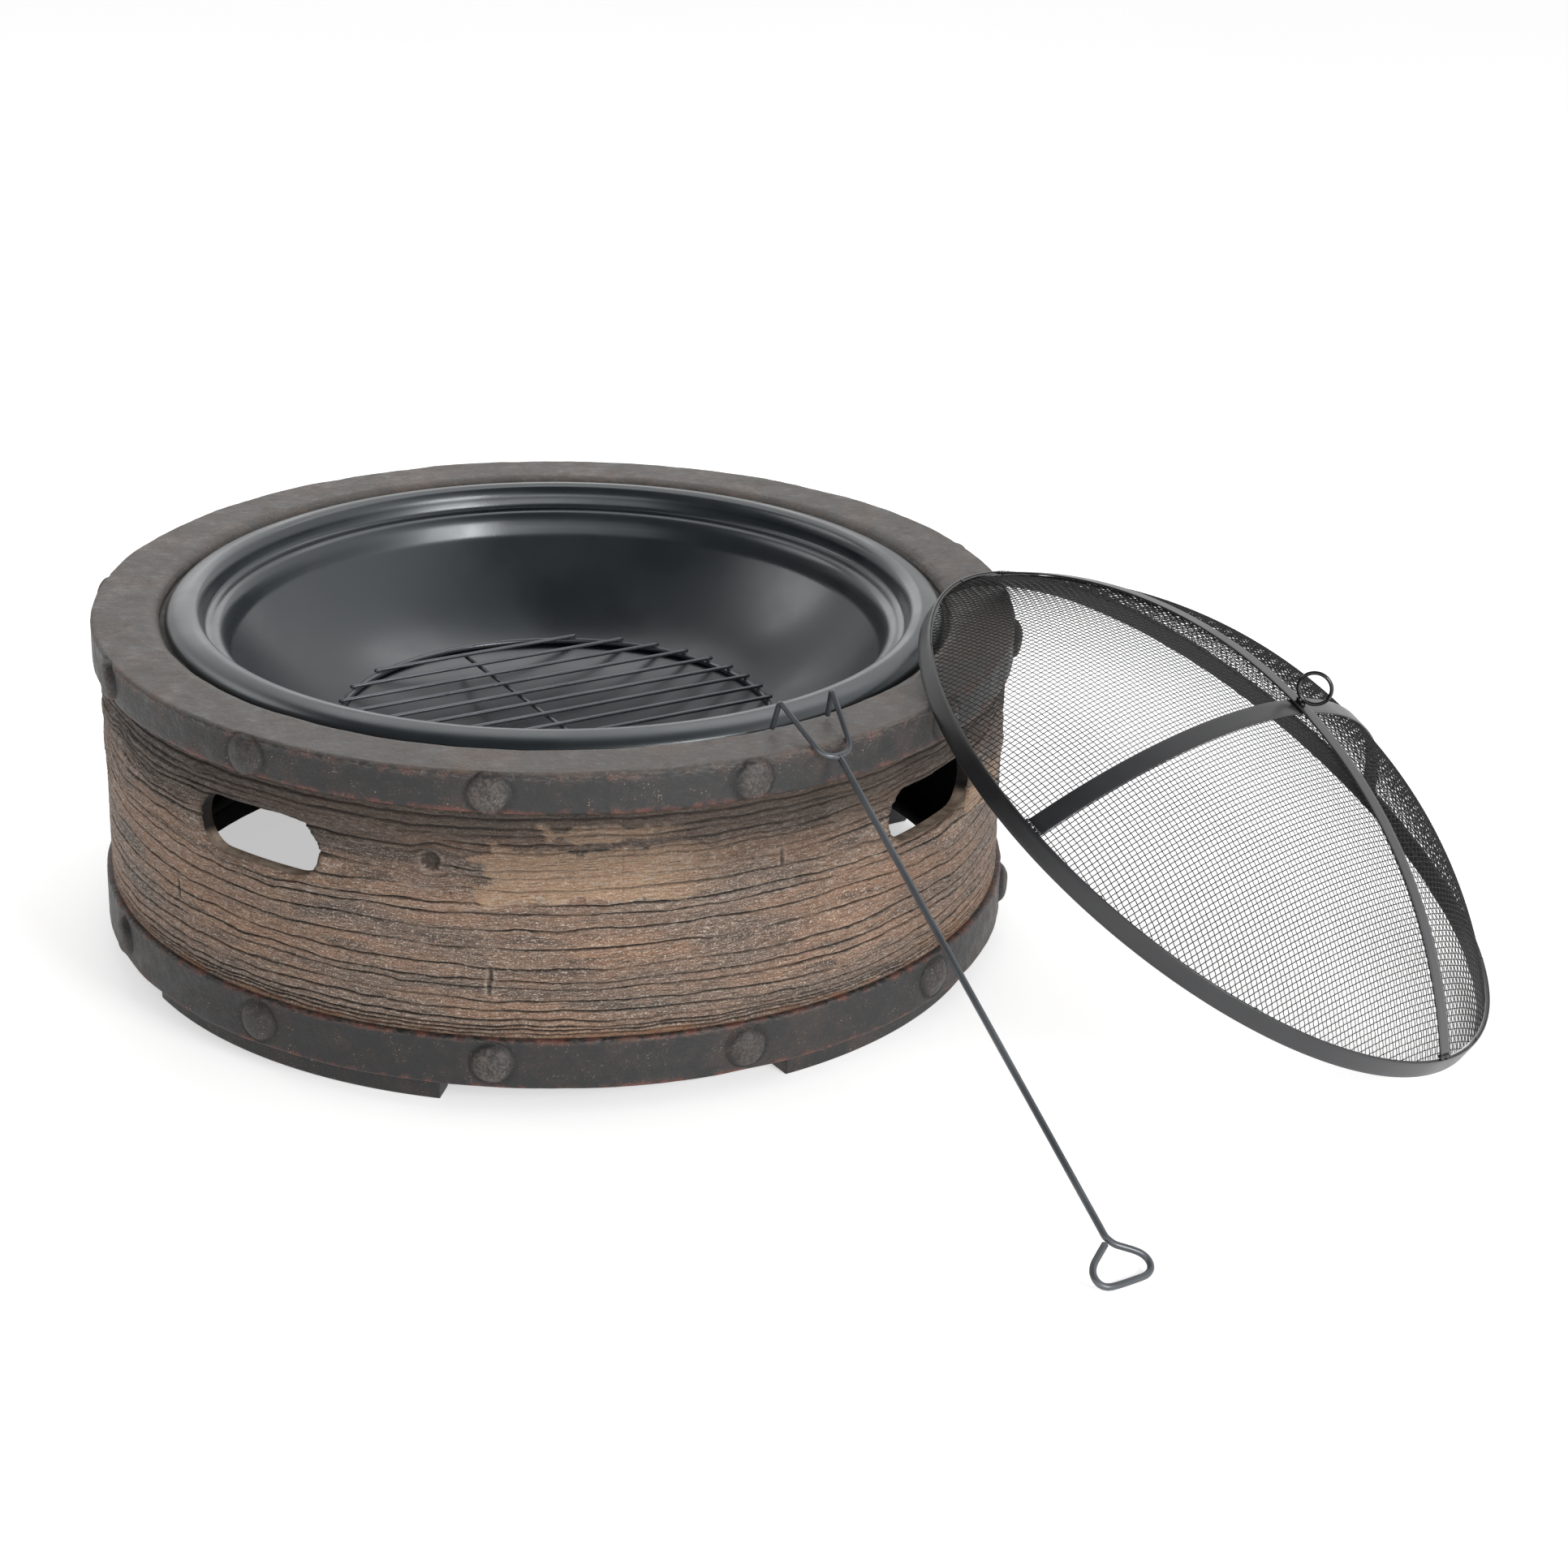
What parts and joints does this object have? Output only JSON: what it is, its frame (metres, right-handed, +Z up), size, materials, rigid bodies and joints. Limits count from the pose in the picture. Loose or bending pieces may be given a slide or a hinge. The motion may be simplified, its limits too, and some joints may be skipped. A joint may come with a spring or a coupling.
{
  "type": "fire pit with grate",
  "caption": "Round outdoor fire pit with a wood-look base, lift-out steel bowl, wire grate, domed spark screen leaning on the rim and a forked poker.",
  "frame": {"origin": "on the ground, under the middle of the whole assembly's bounding box; the pit's own axis stands at x -0.228 m, y 0.136 m", "axes": "+Z up, -Y towards the front where two handle slots and the poker show, +X towards the side where the spark screen leans"},
  "size_m": [1.3588, 1.1742, 0.3756],
  "materials": {
    "wood_cast_finish": "cast composite moulded and stained like weathered wood planks, matt",
    "dark_cast_finish": "cast composite painted like hammered dark iron with rusty traces, matt to satin",
    "bowl_enamel": "satin black high-temperature enamel",
    "grate_paint": "satin black",
    "screen_paint": "satin black",
    "screen_mesh_wire": "satin black woven wire",
    "ring_gloss": "gloss black",
    "poker_paint": "satin dark grey"
  },
  "bodies": {
    "base": {"base_collar": "dark_cast_finish", "base_wall": "wood_cast_finish", "base_band": "dark_cast_finish", "base_foot_1": "dark_cast_finish", "base_foot_2": "dark_cast_finish", "base_foot_3": "dark_cast_finish", "base_foot_4": "dark_cast_finish"},
    "bowl": {"fire_bowl": "bowl_enamel"},
    "grate": {"grate_ring": "grate_paint", "grate_cross_rod": "grate_paint", "grate_bar_01": "grate_paint", "grate_bar_02": "grate_paint", "grate_bar_03": "grate_paint", "grate_bar_04": "grate_paint", "grate_bar_05": "grate_paint", "grate_bar_06": "grate_paint", "grate_bar_07": "grate_paint", "grate_bar_08": "grate_paint", "grate_bar_09": "grate_paint", "grate_bar_10": "grate_paint", "grate_bar_11": "grate_paint", "grate_bar_12": "grate_paint", "grate_bar_13": "grate_paint"},
    "spark_screen": {"screen_hoop": "screen_paint", "screen_clamp_ring": "screen_paint", "screen_mesh": "screen_mesh_wire", "screen_strap_lower": "screen_paint", "screen_strap_upper": "screen_paint", "screen_ring_boss": "ring_gloss", "screen_ring_handle": "ring_gloss"},
    "poker": {"poker_rod": "poker_paint", "poker_fork": "poker_paint"}
  },
  "joints": [
    {"name": "bowl_lift", "type": "slide", "parent": "base", "child": "bowl", "axis": [-0.3978, 0.1007, 0.9119], "range_m": [0, 0.3]},
    {"name": "grate_lift", "type": "slide", "parent": "bowl", "child": "grate", "axis": [0, 0, 1], "range_m": [0, 0.2]},
    {"name": "screen_lift", "type": "slide", "parent": "base", "child": "spark_screen", "axis": [0, 0, 1], "range_m": [0, 0.4]},
    {"name": "poker_lift", "type": "slide", "parent": "base", "child": "poker", "axis": [0, 0, 1], "range_m": [0, 0.36]}
  ]
}
